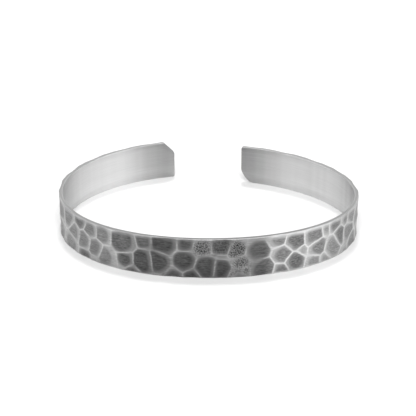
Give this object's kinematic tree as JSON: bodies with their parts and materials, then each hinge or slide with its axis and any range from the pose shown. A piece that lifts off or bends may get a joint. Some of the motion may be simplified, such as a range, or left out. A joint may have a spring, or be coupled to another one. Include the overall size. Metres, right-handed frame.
{
  "type": "cuff bracelet",
  "caption": "Oval open cuff bracelet: one flat band of hammered silver with a plain inner face, an end gap and a clipped corner on each tip.",
  "frame": {"origin": "centre of the bounding box's base, on the surface that the lower rim rests on", "axes": "+X across the wrist, to the wearer's one side; +Y from the front of the band to the end gap; +Z from the lower rim to the upper rim"},
  "size_m": [0.0594, 0.047, 0.008],
  "materials": {
    "silver": "sterling silver, hammered and darkened outside with bright ridges, brushed satin inside"
  },
  "bodies": {
    "root": {"cuff_band": "silver"}
  },
  "joints": []
}
